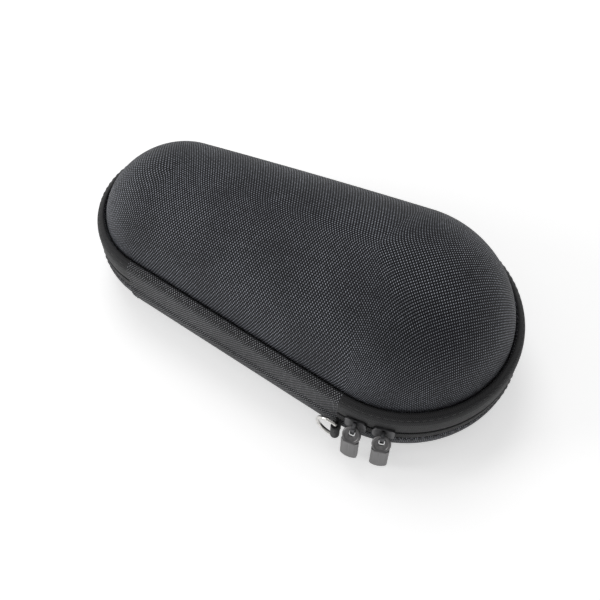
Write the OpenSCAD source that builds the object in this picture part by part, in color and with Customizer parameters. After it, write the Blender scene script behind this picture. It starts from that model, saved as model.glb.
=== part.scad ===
// Moulded hard case for an electric shaver: two zipped shells with a cloth hinge.
// The wide head end points along +X, the hinge runs along the -Y side, z = 0 is the underside.

/* [Case outline] */
// Overall length at the zip line
case_len = 215; // [190:1:250]
// Width of the wide end at the zip line
head_w = 109; // [100:1:120]
// Width of the narrow end at the zip line
tail_w = 82; // [70:1:95]
// Height of the zip line above the underside
zip_height = 25; // [25:0.5:32]
// Number of chords round the wide end of the moulded lid
head_steps = 24; // [16:2:32]
// Number of chords round the narrow end of the moulded lid
tail_steps = 18; // [12:2:24]

/* [Moulded dome] */
// Height of the ridge line over the zip line, carried on to the head end
ridge_head = 56; // [46:0.5:60]
// Height of the ridge line over the zip line, carried on to the tail end
ridge_tail = 35; // [30:0.5:45]
// Extra height of the ridge at mid length
ridge_bulge = 4; // [0:0.5:8]
// How far the top of the dome sits back from the head centre
head_setback = 18; // [5:1:24]
// Fullness of the dome seen along the length, 2 is an ellipse
side_fullness = 2.4; // [2:0.1:3]
// Fullness of the dome towards its top, 2 is an ellipse
top_fullness = 1.85; // [1.7:0.05:2.4]
// Number of rings up the dome
dome_rings = 8; // [6:1:10]

/* [Rim and groove] */
// Height of the straight rim over the zip line
rim_straight = 8; // [7.5:0.1:9]
// Height of the rolled rim over the zip line
rim_height = 13; // [12.5:0.1:14]
// How far in the rolled rim ends
rim_roll_in = 3.8; // [3.4:0.1:4.2]
// Inset of the groove between the rim and the dome
groove_in = 5; // [4.8:0.1:6]
// Height of the groove bottom over the zip line
groove_height = 10; // [9.5:0.1:10.5]

/* [Tray] */
// Inset at which the underside turns flat
base_turn_in = 18; // [14:0.5:22]
// Height over the underside at which the side wall starts to curve in
base_turn_height = 17; // [12:0.5:17]
// Number of chords in the curved edge of the underside
turn_steps = 6; // [4:1:10]

/* [Shell layers] */
// Thickness of the woven cover
fabric_t = 0.8; // [0.6:0.1:1]
// Thickness of the foam core
foam_t = 3.6; // [3:0.1:4]
// Thickness of the lining
lining_t = 0.6; // [0.4:0.1:0.8]
// Distance from the zip line to the edge of each moulded shell
edge_gap = 5; // [5:0.1:5.5]

/* [Zip] */
// Thickness of the zip tape
tape_t = 0.8; // [0.6:0.1:0.9]
// Half of the slot between the two tapes
tape_slot = 0.75; // [0.7:0.05:0.8]
// Depth below the zip line at which the cover laps over the lower tape
lap_depth = 5.6; // [5.5:0.1:5.8]
// Width of lower tape that is tucked under the cover
tape_tuck = 2; // [1.5:0.1:2]
// Spacing of the coil loops in one row
loop_pitch = 2.6; // [2.5:0.1:3.2]
// Diameter of a coil loop
loop_d = 1; // [0.8:0.05:1]
// Clearance between the loops and the tape
loop_clear = 0.02; // [0.02:0.01:0.05]
// How far each loop reaches from the zip line into its tape
loop_reach = 3; // [2.6:0.1:3]
// How far each loop crosses the zip line when closed
loop_cross = 0.6; // [0.3:0.1:0.7]
// Least angle round the wide end of the tape that stays in the parked sliders
end_tape_angle = 30; // [29.5:0.5:36]

/* [Sliders] */
// Angle of the first parked slider past the hinge end
end_slider_at = 10; // [9:0.5:10.5]
// Angle of the second parked slider past the hinge end
lead_slider_at = 23; // [22.5:0.5:24]
// Length of a slider
slider_len = 10; // [9:0.5:10]
// Width of a slider over its shoulders
slider_w = 8.8; // [8.4:0.1:8.8]
// Width of a slider at its tail
slider_tail_w = 7.6; // [7.2:0.1:8.4]
// Thickness of the slider plates
plate_t = 1.1; // [0.9:0.05:1.2]
// Running clearance between the slider and the chain
slider_gap = 0.35; // [0.3:0.05:0.4]
// Half width of the post between the plates
post_half = 0.45; // [0.35:0.05:0.45]
// Length of the post along the track
post_len = 2.2; // [1.5:0.1:2.6]
// Height of the window under the bridge
bridge_window = 2.4; // [2.3:0.1:2.6]
// Thickness of the bridge metal
bridge_t = 1.2; // [1:0.1:1.4]
// Width of the bridge along the track
bridge_w = 2; // [1.6:0.1:2.2]
// Half height of the window under the bridge
bridge_half = 1.6; // [1.5:0.1:1.8]

/* [Pulls] */
// Thickness of the ring at the top of a pull
eye_t = 1.5; // [1.3:0.1:1.5]
// Inner diameter of the ring
eye_hole = 5.6; // [5.4:0.1:6]
// Angle below level at which the ring hangs
eye_tilt = 50; // [45:1:60]
// Width of the tab
tab_w = 8; // [7:0.1:8.4]
// Length of the tab
tab_len = 16; // [12:0.5:17]
// Thickness of the tab
tab_t = 1.3; // [1:0.1:1.6]
// Radius of the arch across the tab
tab_arch_r = 9; // [7:0.5:14]
// Radius of the lower corners of the tab
tab_corner_r = 1; // [0.5:0.1:2]

/* [Cloth hinge] */
// Depth of the hinge band below the zip line
band_depth = 12; // [10:0.5:14]
// Thickness of the cloth inside the hinge band
hinge_lining_t = 0.6; // [0.4:0.1:0.8]

/* [Ring and loop] */
// Diameter of the ring wire
ring_wire = 1.8; // [1.4:0.1:2]
// Overall height of the D ring
ring_h = 15; // [14:0.5:16]
// Overall depth of the D ring
ring_depth = 11; // [10:0.5:12]
// Bend radius at the corners of the D ring
ring_bend = 1.6; // [1.4:0.1:2]
// Angle of the webbing loop past the hinge end
ring_angle = 1.5; // [1.5:0.1:2]
// Depth of the ring centre below the zip line
ring_drop = 10.5; // [10.5:0.5:12]
// Height of the webbing loop
webbing_h = 10; // [9:0.5:10.5]
// Thickness of the webbing
webbing_t = 1.1; // [0.9:0.1:1.3]
// Clearance between the ring bar and the webbing
webbing_gap = 0.2; // [0.15:0.05:0.3]
// Distance of the ring bar from the lower cover
ring_standoff = 3.4; // [3.3:0.1:4.5]

/* [Lid pocket] */
// Thickness of the mesh
mesh_t = 0.6; // [0.5:0.1:1]
// Height of the mesh over the edge of the lid
mesh_rise = 0.6; // [0.3:0.1:1.2]
// Gap between the mesh and the lining
mesh_gap = 0.3; // [0.25:0.05:0.4]
// Where the open edge of the pocket lies along the case
pocket_mouth_x = 8; // [-20:1:20]
// Width of the elastic binding on the open edge
binding_w = 7; // [5:0.5:10]
// Thickness of the elastic binding
binding_t = 1.6; // [1.4:0.1:2]

/* [Hidden] */
$fn = 48;
small_fn = 24;

head_r = head_w / 2;
tail_r = tail_w / 2;
head_x = case_len / 2 - head_r;
tail_x = tail_r - case_len / 2;
centre_span = head_x - tail_x;
taper = asin((head_r - tail_r) / centre_span);
side_len = centre_span * cos(taper);
head_arc = 180 + 2 * taper;
tail_arc = 180 - 2 * taper;
side_steps = 3;
end_tape_steps = ceil(end_tape_angle * head_steps / head_arc);
chord_rise = max(head_r * (1 - cos(head_arc / head_steps / 2)), tail_r * (1 - cos(tail_arc / tail_steps / 2)));

core_t = fabric_t + foam_t;
shell_t = core_t + lining_t;
loop_r = loop_d / 2;
loop_in = tape_t + chord_rise + loop_clear + loop_r;
chain_t = loop_in + loop_r;

// Places [x, y, z] on the wide end: angle past the hinge end, then distance outwards
module on_head(angle, out = 0) {
    translate([head_x, 0, zip_height])
        rotate([0, 0, angle - 90 - taper])
            translate([head_r + out, 0, 0])
                children();
}

// Carries a section of [inset, height over the zip line] points round part of the wide end
module round_head(points, from, to) {
    translate([head_x, 0, zip_height])
        rotate([0, 0, from - 90 - taper])
            rotate_extrude(angle = to - from)
                polygon([for (p = points) [head_r - p[0], p[1]]]);
}

// Carries a section along the hinge side
module along_hinge_side(points) {
    translate([head_x, 0, zip_height])
        rotate([90, 0, -90 - taper])
            linear_extrude(side_len)
                polygon([for (p = points) [head_r - p[0], p[1]]]);
}

// Plan points of a tapered ring with given end radii and end centres, from the hinge's head end round to it again
function ring_plan(r1, r2, x1, x2) = concat(
    [for (k = [0 : head_steps]) let (a = -90 - taper + head_arc * k / head_steps) [x1 + r1 * cos(a), r1 * sin(a)]],
    [for (k = [1 : side_steps - 1]) let (u = k / side_steps)
        [x1 + (x2 - x1) * u - (r1 + (r2 - r1) * u) * sin(taper), (r1 + (r2 - r1) * u) * cos(taper)]],
    [for (k = [0 : tail_steps]) let (a = 90 + taper + tail_arc * k / tail_steps) [x2 + r2 * cos(a), r2 * sin(a)]],
    [for (k = [1 : side_steps - 1]) let (u = k / side_steps)
        [x2 + (x1 - x2) * u - (r2 + (r1 - r2) * u) * sin(taper), -(r2 + (r1 - r2) * u) * cos(taper)]]);

// Ring of points right round the case at a section point of inset and height over the zip line
function ring_at(p) = [for (q = ring_plan(head_r - p[0], tail_r - p[0], head_x, tail_x))
    [q[0], q[1], zip_height + p[1]]];
function reversed(list) = [for (k = [len(list) - 1 : -1 : 0]) list[k]];

// Closed skin over the rings of an inner and an outer surface that meet at their first rings, with a strip of
// triangles across the last ring of each. Surfaces with the same rings are cut into the same triangles.
module sleeve(inner, outer, inside_out = false) {
    rings = concat(reversed(inner), outer);
    n = len(rings[0]);
    last = (len(rings) - 1) * n;
    skin = [for (j = [0 : len(rings) - 2]) for (i = [0 : n - 1])
        let (a = j * n + i, b = j * n + (i + 1) % n)
        for (t = j < len(inner) ? [[a, a + n, b + n], [a, b + n, b]] : [[a, a + n, b], [b, a + n, b + n]]) t];
    strip = [for (j = [0 : n / 2 - 1])
        let (a = head_steps / 2 + j, b = (head_steps / 2 - j + n) % n)
        let (a2 = a + 1, b2 = (b - 1 + n) % n)
        for (t = [[a, b2, a2], [a, b, b2]])
            if (t[0] % n != t[1] % n && t[1] % n != t[2] % n && t[0] % n != t[2] % n)
                [for (v = t) v % n]];
    faces = concat(skin, [for (t = strip) [for (v = t) last + v]], [for (t = strip) reversed(t)]);
    polyhedron([for (ring = rings) for (p = ring) p], inside_out ? [for (t = faces) reversed(t)] : faces,
        convexity = 6);
}

// Strip with a given section that follows the zip from one ring point to another
module along_zip(points, from = 0, to = head_steps + side_steps + tail_steps) {
    m = len(points);
    count = to - from + 1;
    edges = [for (p = points) ring_at(p)];
    skin = [for (i = [0 : count - 2]) for (j = [0 : m - 1])
        let (a = i * m + j, b = i * m + (j + 1) % m)
        for (t = [[a, b, a + m], [b, b + m, a + m]]) t];
    polyhedron([for (i = [from : to]) for (j = [0 : m - 1]) edges[j][i]],
        concat(skin, [[for (j = [m - 1 : -1 : 0]) j]], [[for (j = [0 : m - 1]) (count - 1) * m + j]]), convexity = 6);
}

// Plan of the case, a given inset inside the zip line
module plan(inset) {
    r1 = head_r - inset;
    r2 = tail_r - inset;
    translate([head_x, 0])
        circle(r = r1, $fn = 96);
    translate([tail_x, 0])
        circle(r = r2, $fn = 96);
    polygon([
        [head_x - r1 * sin(taper), -r1 * cos(taper)], [head_x - r1 * sin(taper), r1 * cos(taper)],
        [tail_x - r2 * sin(taper), r2 * cos(taper)], [tail_x - r2 * sin(taper), -r2 * cos(taper)]]);
}

// Curve of the underside edge at a depth inside the cover, from the side wall to the flat
function turn_curve(depth) = [for (k = [0 : turn_steps])
    let (a = 90 * k / turn_steps)
    [base_turn_in - (base_turn_in - depth) * cos(a),
        base_turn_height - (base_turn_height - depth) * sin(a) - zip_height]];

// One layer of the tray between two depths, with the rings of its upper edge given as section points
module tray_layer(outer_depth, inner_depth, outer_edge, inner_edge) {
    outer = concat(outer_edge, turn_curve(outer_depth));
    inner = concat(inner_edge, turn_curve(inner_depth));
    sleeve([for (p = inner) ring_at(p)], [for (p = outer) ring_at(p)], true);
}

// Lower shell of the case
module lower_fabric() {
    color([0.12, 0.12, 0.13])
        tray_layer(0, fabric_t, [[0, -lap_depth]], [[fabric_t, -lap_depth]]);
}

module lower_foam() {
    tuck_z = -lap_depth - tape_tuck;
    color([0.2, 0.2, 0.21])
        tray_layer(fabric_t, core_t, [[fabric_t + tape_t, -edge_gap], [fabric_t + tape_t, tuck_z],
            [fabric_t, tuck_z]], [[core_t, -edge_gap]]);
}

module lower_lining() {
    color([0.3, 0.3, 0.32])
        tray_layer(core_t, shell_t, [[core_t, -edge_gap]], [[shell_t, -edge_gap]]);
}

// Lower tape, straight by the zip and tucked under the cover
module lower_zip_tape() {
    step_z = -lap_depth + tape_t;
    fold = tape_t * (sqrt(2) - 1);
    color([0.08, 0.08, 0.09])
        along_zip([[0, -tape_slot], [tape_t, -tape_slot], [tape_t, step_z + fold],
            [fabric_t + tape_t, fold - lap_depth], [fabric_t + tape_t, -lap_depth - tape_tuck],
            [fabric_t, -lap_depth - tape_tuck], [fabric_t, -lap_depth], [0, step_z]]);
}

// Outer side of the rim over the zip, as shares of its roll inwards and of its height over the straight part
rim_curve = [[0, 0], [0.1, 0.36], [0.32, 0.66], [0.63, 0.88], [1, 1]];
function roll_outer() = [for (p = rim_curve)
    [rim_roll_in * p[0], rim_straight + (rim_height - rim_straight) * p[1]]];

// Edge of a lid layer inside the rim, which thins as the cover turns down into the groove
function cover_rim(depth) = [
    [tape_t + depth, edge_gap],
    [tape_t + depth, rim_straight - 0.1 - 0.3 * depth],
    [rim_roll_in * 0.48 + 0.95 * depth, rim_height - 2.3 - 0.75 * depth],
    [rim_roll_in + 0.2 + 0.5 * depth, rim_height - 0.8 - 0.75 * depth]];

function rim_tape() = concat([[tape_t, tape_slot], [0, tape_slot]], roll_outer(),
    [cover_rim(0)[3], cover_rim(0)[2], cover_rim(0)[1]]);

module upper_zip_tape() {
    color([0.08, 0.08, 0.09])
        along_zip(rim_tape(), end_tape_steps);
}

// Stretch of upper tape that the parked sliders hold
module upper_tape_end() {
    color([0.08, 0.08, 0.09])
        along_zip(rim_tape(), 0, end_tape_steps);
}

// Cloth band that joins the shells along the hinge side
module hinge_band() {
    color([0.12, 0.12, 0.13])
        along_hinge_side(concat([[0, -band_depth], [-fabric_t, -band_depth], [-fabric_t, -lap_depth - 0.5],
            [0, -lap_depth + 1.5]], roll_outer(), [cover_rim(0)[3], cover_rim(0)[2], cover_rim(0)[1]],
            [[tape_t, -lap_depth + 0.8], [0, -lap_depth]]));
}

module hinge_lining() {
    half = edge_gap - 1;
    color([0.3, 0.3, 0.32])
        along_hinge_side([[tape_t, -half], [tape_t, half], [tape_t + hinge_lining_t, half],
            [tape_t + hinge_lining_t, -half]]);
}

// Height of the ridge line over the zip line at a place along the case
function ridge(x) = let (s = x / case_len + 0.5)
    ridge_tail + (ridge_head - ridge_tail) * s + ridge_bulge * 4 * s * (1 - s);

// Angle of the section curve at which the dome goes over into its crown
crown_turn = 84;

// Surface of the moulded lid at a depth inside the cover, ring by ring from the edge to the top
function rim_rings(depth) = [for (p = cover_rim(depth)) ring_at(p)];
function dome_ring(depth, k) =
    let (a = crown_turn * k / dome_rings)
    let (f = pow(cos(a), 2 / side_fullness))
    let (h = pow(sin(a), 2 / top_fullness))
    let (low = groove_height - 0.15 * depth)
    [for (q = ring_plan((head_r - groove_in - depth) * f, (tail_r - groove_in - depth) * f,
            head_x - head_setback * (1 - f), tail_x))
        [q[0], q[1], zip_height + low + (ridge(q[0]) - depth - low) * h]];
function lid_rings(depth) = concat(rim_rings(depth), [for (k = [0 : dome_rings]) dome_ring(depth, k)]);

// One layer of the moulded lid between two depths
module lid_layer(outer_depth, inner_depth) {
    sleeve(lid_rings(inner_depth), lid_rings(outer_depth));
}

// Upper shell of the case
module upper_fabric() {
    color([0.12, 0.12, 0.13])
        lid_layer(0, fabric_t);
}

module upper_foam() {
    color([0.2, 0.2, 0.21])
        lid_layer(fabric_t, core_t);
}

module upper_lining() {
    color([0.3, 0.3, 0.32])
        lid_layer(core_t, shell_t);
}

// Distances along the zip: wide end, opening side, narrow end, measured at the coil
coil_head_r = head_r - loop_in;
coil_tail_r = tail_r - loop_in;
head_run = coil_head_r * head_arc * PI / 180;
tail_run = coil_tail_r * tail_arc * PI / 180;
zip_run = head_run + side_len + tail_run;
coil_start = 3;
loop_count = floor((zip_run - 2 * coil_start) / loop_pitch);

// Places a loop at a distance along the zip
module at_zip(s) {
    if (s < head_run)
        translate([head_x, 0, zip_height])
            rotate([0, 0, -90 - taper + s / coil_head_r * 180 / PI])
                translate([coil_head_r, 0, 0])
                    children();
    else if (s < head_run + side_len)
        translate([head_x, 0, zip_height])
            rotate([0, 0, 90 + taper])
                translate([coil_head_r, s - head_run, 0])
                    children();
    else
        translate([tail_x, 0, zip_height])
            rotate([0, 0, 90 + taper + (s - head_run - side_len) / coil_tail_r * 180 / PI])
                translate([coil_tail_r, 0, 0])
                    children();
}

// Between the posts of the parked sliders the two rows of loops stand apart
part_from = (end_slider_at * PI / 180) * coil_head_r + slider_len / 2 - post_len - 2 * loop_d;
part_to = (lead_slider_at * PI / 180) * coil_head_r - slider_len / 2 + post_len + 2 * loop_d;
module coil_row(side, shift) {
    for (k = [0 : loop_count - 1]) {
        s = coil_start + (k + shift) * loop_pitch;
        tip = s > part_from && s < part_to ? post_half + slider_gap : -loop_cross;
        at_zip(s)
            translate([0, 0, side > 0 ? tip : -loop_reach])
                cylinder(r = loop_r, h = loop_reach - tip, $fn = small_fn);
    }
}

module lower_zip_coil() {
    color([0.05, 0.05, 0.05])
        coil_row(-1, 0.5);
}

module upper_zip_coil() {
    color([0.05, 0.05, 0.05])
        coil_row(1, 0);
}

// Metal staples that end the lower row by both ends of the hinge
module zip_stops() {
    color([0.25, 0.25, 0.26])
        for (s = [coil_start / 2 - 0.4, zip_run - coil_start / 2 + 0.4])
            at_zip(s)
                translate([-loop_r, -0.8, -loop_reach])
                    cube([loop_d, 1.6, loop_reach - tape_slot]);
}

// Plan of a slider seen from outside, with its nose along +Y, and the radii of its corners
shoulder_r = 2;
nose_r = 1;
nose_in = 2;
nose_over = 0.4;
tail_corner_r = 1.4;
module slider_corners(half, y, r) {
    for (side = [-1, 1])
        translate([side * half, y])
            circle(r = r, $fn = small_fn);
}

module slider_plan() {
    hull() {
        slider_corners(slider_w / 2 - shoulder_r, slider_len / 2 - shoulder_r - nose_over, shoulder_r);
        slider_corners(slider_w / 2 - nose_in - nose_r, slider_len / 2 - nose_r, nose_r);
        slider_corners(slider_tail_w / 2 - tail_corner_r, tail_corner_r - slider_len / 2, tail_corner_r);
    }
}

// Two plates on either side of the chain, the lips of the inner plate and the post at the nose
lip_t = 0.5;
post_back = 0.6;
module slider_body(at, nose) {
    lip_in = tape_t + slider_gap;
    plate_in = chain_t + slider_gap;
    half = slider_w / 2;
    reach = slider_len / 2 / head_r * 180 / PI + 1;
    color([0.3, 0.3, 0.32]) {
        intersection() {
            union() {
                round_head([[-slider_gap, -half], [-slider_gap, half], [-slider_gap - plate_t, half],
                    [-slider_gap - plate_t, -half]], at - reach, at + reach);
                round_head([[plate_in, -half], [lip_in, -half], [lip_in, lip_t - half], [plate_in, lip_t - half],
                    [plate_in, half - lip_t], [lip_in, half - lip_t], [lip_in, half], [plate_in, half],
                    [plate_in + plate_t, half], [plate_in + plate_t, -half]], at - reach, at + reach);
            }
            on_head(at, -5)
                rotate([90, 0, 90])
                    rotate([0, 0, 90 * nose - 90])
                        linear_extrude(10)
                            rotate([0, 0, -90])
                                slider_plan();
        }
        on_head(at)
            translate([-plate_in - plate_t / 2,
                nose * (slider_len / 2 - post_len - post_back) - (nose < 0 ? post_len : 0), -post_half])
                cube([plate_in + slider_gap + plate_t, post_len, 2 * post_half]);
    }
}

// Bridge on the outer plate that the ring of the pull passes under
module slider_bridge(at) {
    foot = slider_gap + plate_t;
    half = bridge_half + bridge_t;
    top = bridge_window + bridge_t;
    color([0.3, 0.3, 0.32])
        on_head(at, foot)
            rotate([90, 0, 0])
                linear_extrude(bridge_w, center = true)
                    difference() {
                        polygon([[0, -half], [top - bridge_t * 0.5, -half], [top, -half + bridge_t * 0.6],
                            [top, half - bridge_t * 0.6], [top - bridge_t * 0.5, half], [0, half]]);
                        translate([-1, -bridge_half])
                            square([bridge_window + 1, 2 * bridge_half]);
                    }
}

// Pull hanging from the bridge: a tilted ring and an arched tab
module pull(at) {
    pivot_out = slider_gap + plate_t + bridge_window / 2;
    eye_r = (eye_hole + eye_t) / 2;
    drop = 2 * eye_r;
    tab_out = drop * cos(eye_tilt);
    tab_top = -drop * sin(eye_tilt);
    color([0.34, 0.34, 0.35])
        on_head(at, pivot_out) {
            rotate([0, eye_tilt, 0])
                translate([eye_r, 0, 0])
                    rotate_extrude(angle = 360)
                        translate([eye_r, 0])
                            circle(d = eye_t, $fn = small_fn);
            translate([tab_out, 0, tab_top])
                rotate([90, 0, 0])
                    cylinder(d = tab_t + 0.5, h = tab_w * 0.7, center = true, $fn = small_fn);
            translate([tab_out, 0, tab_top - tab_len])
                intersection() {
                    translate([-tab_arch_r + tab_t / 2, 0, 0])
                        difference() {
                            cylinder(r = tab_arch_r, h = tab_len, $fn = 96);
                            translate([0, 0, -1])
                                cylinder(r = tab_arch_r - tab_t, h = tab_len + 2, $fn = 96);
                        }
                    translate([-3, 0, 0])
                        rotate([90, 0, 90])
                            linear_extrude(6)
                                tab_plan();
                }
        }
}

// Outline of a tab with rounded lower corners
module tab_plan() {
    translate([tab_corner_r - tab_w / 2, tab_corner_r])
        circle(r = tab_corner_r, $fn = small_fn);
    translate([tab_w / 2 - tab_corner_r, tab_corner_r])
        circle(r = tab_corner_r, $fn = small_fn);
    translate([tab_corner_r - tab_w / 2, 0])
        square([tab_w - 2 * tab_corner_r, tab_corner_r]);
    translate([-tab_w / 2, tab_corner_r])
        square([tab_w, tab_len - tab_corner_r]);
}

module end_slider_body() { slider_body(end_slider_at, 1); }
module end_slider_bridge() { slider_bridge(end_slider_at); }
module end_pull() { pull(end_slider_at); }
module lead_slider_body() { slider_body(lead_slider_at, -1); }
module lead_slider_bridge() { slider_bridge(lead_slider_at); }
module lead_pull() { pull(lead_slider_at); }

// D ring with its straight bar upright in the webbing loop and its bow along the hinge
module d_ring() {
    bow_r = (ring_h - ring_wire) / 2;
    bar_half = bow_r - ring_bend;
    straight = ring_depth - ring_wire - bow_r - ring_bend;
    wire_r = ring_wire / 2;
    color([0.75, 0.75, 0.76])
        on_head(ring_angle, ring_standoff)
            translate([0, 0, -ring_drop])
                rotate([90, 0, 90]) {
                    translate([0, -bar_half, 0])
                        rotate([-90, 0, 0])
                            cylinder(r = wire_r, h = 2 * bar_half, $fn = small_fn);
                    for (side = [0, 1])
                        mirror([0, side, 0]) {
                            translate([-ring_bend, bar_half, 0])
                                rotate_extrude(angle = 90)
                                    translate([ring_bend, 0])
                                        circle(r = wire_r, $fn = small_fn);
                            translate([-ring_bend - straight, bow_r, 0])
                                rotate([0, 90, 0])
                                    cylinder(r = wire_r, h = straight, $fn = small_fn);
                        }
                    translate([-ring_bend - straight, 0, 0])
                        rotate([0, 0, 90])
                            rotate_extrude(angle = 180)
                                translate([bow_r, 0])
                                    circle(r = wire_r, $fn = small_fn);
                }
}

// Folded webbing sewn to the lower cover, with the ring bar in its fold
module ring_loop() {
    hole_r = ring_wire / 2 + webbing_gap;
    outer_r = hole_r + webbing_t;
    root = chord_rise * 0.4;
    color([0.07, 0.07, 0.08])
        on_head(ring_angle)
            translate([0, 0, -ring_drop - webbing_h / 2])
                linear_extrude(webbing_h)
                    difference() {
                        union() {
                            translate([ring_standoff, 0])
                                circle(r = outer_r, $fn = small_fn * 2);
                            translate([-root, -webbing_t])
                                square([ring_standoff + root, 2 * webbing_t]);
                        }
                        translate([ring_standoff, 0])
                            circle(r = hole_r, $fn = small_fn * 2);
                    }
}

// Mesh pocket across the narrow half of the lid
mesh_z = zip_height + edge_gap + mesh_rise;
mesh_in = tape_t + shell_t + mesh_gap;
module pocket_mesh() {
    color([0.1, 0.1, 0.11])
        translate([0, 0, mesh_z])
            linear_extrude(mesh_t)
                intersection() {
                    plan(mesh_in);
                    translate([-case_len, -case_len / 2])
                        square([case_len + pocket_mouth_x - binding_w / 2, case_len]);
                }
}

// Elastic binding along the open edge of the pocket, sewn to the lining at both ends
module pocket_binding() {
    color([0.06, 0.06, 0.06])
        translate([0, 0, mesh_z + mesh_t / 2 - binding_t / 2])
            linear_extrude(binding_t)
                intersection() {
                    plan(mesh_in);
                    translate([pocket_mouth_x - binding_w / 2, -case_len / 2])
                        square([binding_w, case_len]);
                }
}

lower_fabric();
lower_foam();
lower_lining();
lower_zip_tape();
lower_zip_coil();
zip_stops();
hinge_band();
hinge_lining();
ring_loop();
upper_fabric();
upper_foam();
upper_lining();
upper_zip_tape();
upper_zip_coil();
upper_tape_end();
pocket_mesh();
pocket_binding();
end_slider_body();
end_slider_bridge();
end_pull();
lead_slider_body();
lead_slider_bridge();
lead_pull();
d_ring();
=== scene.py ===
"""Zip case for an electric shaver: cloth, zip, fittings, floor, light and camera round the solids."""

import math

import bmesh
import bpy
from mathutils import Matrix, Vector


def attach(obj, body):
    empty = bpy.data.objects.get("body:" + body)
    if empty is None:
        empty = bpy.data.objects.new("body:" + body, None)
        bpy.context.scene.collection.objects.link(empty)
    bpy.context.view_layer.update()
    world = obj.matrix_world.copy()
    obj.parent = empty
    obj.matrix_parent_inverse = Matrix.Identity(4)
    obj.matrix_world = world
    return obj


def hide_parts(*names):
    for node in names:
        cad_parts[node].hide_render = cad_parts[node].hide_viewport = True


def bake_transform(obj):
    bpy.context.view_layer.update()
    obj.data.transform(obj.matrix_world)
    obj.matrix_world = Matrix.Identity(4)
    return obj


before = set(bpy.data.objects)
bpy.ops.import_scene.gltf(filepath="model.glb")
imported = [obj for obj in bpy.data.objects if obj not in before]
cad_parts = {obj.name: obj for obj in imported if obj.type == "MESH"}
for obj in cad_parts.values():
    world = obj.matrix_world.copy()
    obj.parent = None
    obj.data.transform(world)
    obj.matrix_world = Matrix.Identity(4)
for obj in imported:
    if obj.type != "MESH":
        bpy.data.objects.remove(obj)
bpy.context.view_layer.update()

MM = 0.001
SENSOR_MM, FRAME_PX = 36.0, 600

# Sizes in millimetres, as in the solids. A section point is (inset, height over the zip line).
# Outline and dome
CASE_LEN, HEAD_W, TAIL_W, ZIP_Z = 215.0, 109.0, 82.0, 25.0
RIDGE_HEAD, RIDGE_TAIL, RIDGE_BULGE, HEAD_SETBACK = 56.0, 35.0, 4.0, 18.0
SIDE_FULLNESS, TOP_FULLNESS = 2.4, 1.85
# Rim, groove and tray
RIM_STRAIGHT, RIM_HEIGHT, RIM_ROLL_IN = 8.0, 13.0, 3.8
GROOVE_IN, GROOVE_HEIGHT, EDGE_GAP = 5.0, 10.0, 5.0
BASE_TURN_IN, BASE_TURN_HEIGHT = 18.0, 17.0
# Layers
FABRIC_T, FOAM_T, LINING_T = 0.8, 3.6, 0.6
# Zip tapes and coil; the coil is parted between the posts of the parked sliders
TAPE_T, TAPE_SLOT, LAP_DEPTH, TAPE_TUCK = 0.8, 0.75, 5.6, 2.0
LOOP_PITCH, LOOP_IN, LOOP_REACH, LOOP_CROSS = 2.6, 1.454, 3.0, 0.6
HINGE_LINING_T = 0.6
PARTED_FROM, PARTED_TO, PARTED_TIP = 10.06, 20.49, 0.8
COIL_START, FILAMENT_R = 3.0, 0.28
# Ring and its webbing loop
RING_ANGLE, RING_WIRE, RING_DROP, RING_STANDOFF = 1.5, 1.8, 10.5, 3.4
WEBBING_H, WEBBING_T, WEBBING_GAP = 10.0, 1.1, 0.2
# Pulls
END_SLIDER_AT, LEAD_SLIDER_AT, PIVOT_OUT = 10.0, 23.0, 2.65
EYE_HOLE, EYE_T, EYE_TILT, WEB_T = 5.6, 1.5, 50.0, 0.9
# Pocket
MESH_IN, MESH_Z, MESH_T, NET_PITCH = 6.1, 30.6, 0.6, 2.1
POCKET_MOUTH_X, BINDING_W, BINDING_T = 8.0, 7.0, 1.6

# Derived: radii and centres of the two ends, the taper between them, and the layers' depths
HEAD_R, TAIL_R = HEAD_W / 2, TAIL_W / 2
HEAD_X, TAIL_X = CASE_LEN / 2 - HEAD_R, TAIL_R - CASE_LEN / 2
TAPER = math.asin((HEAD_R - TAIL_R) / (HEAD_X - TAIL_X))
SIDE_LEN = (HEAD_X - TAIL_X) * math.cos(TAPER)
HEAD_ARC, TAIL_ARC = math.pi + 2 * TAPER, math.pi - 2 * TAPER
CORE_T = FABRIC_T + FOAM_T
SHELL_T = CORE_T + LINING_T

# Places round the outline
HEAD_N, SIDE_N, TAIL_N = 96, 40, 64
RING_N = HEAD_N + TAIL_N + 2 * SIDE_N
ZIP_END = HEAD_N + SIDE_N + TAIL_N


# Camera
def make_camera():
    """The photograph's view, for a square frame 600 pixels wide."""
    azimuth, elevation, roll = math.radians(28.785), math.radians(59.149), math.radians(-0.336)
    distance, focal_px, shift_right, shift_up = 416.0, 898.8, -0.852, -18.433
    back = Vector((math.sin(azimuth) * math.cos(elevation), -math.cos(azimuth) * math.cos(elevation),
                   math.sin(elevation)))
    level = (-back).cross(Vector((0, 0, 1))).normalized()
    upright = level.cross(-back)
    right = math.cos(roll) * level + math.sin(roll) * upright
    up = -math.sin(roll) * level + math.cos(roll) * upright
    target = Vector((0, 0, ZIP_Z + 15)) + shift_right * right + shift_up * up
    data = bpy.data.cameras.new("camera")
    data.sensor_width = SENSOR_MM
    data.lens = focal_px * SENSOR_MM / FRAME_PX
    data.clip_start, data.clip_end = 0.01, 20
    camera = bpy.data.objects.new("camera", data)
    bpy.context.scene.collection.objects.link(camera)
    turn = Matrix((right, up, back)).transposed().to_4x4()
    camera.matrix_world = Matrix.Translation((target + distance * back) * MM) @ turn
    bpy.context.scene.camera = camera


make_camera()


# Materials
KNIT_PITCH, CROSS_THREAD = 0.9, 0.5


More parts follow.
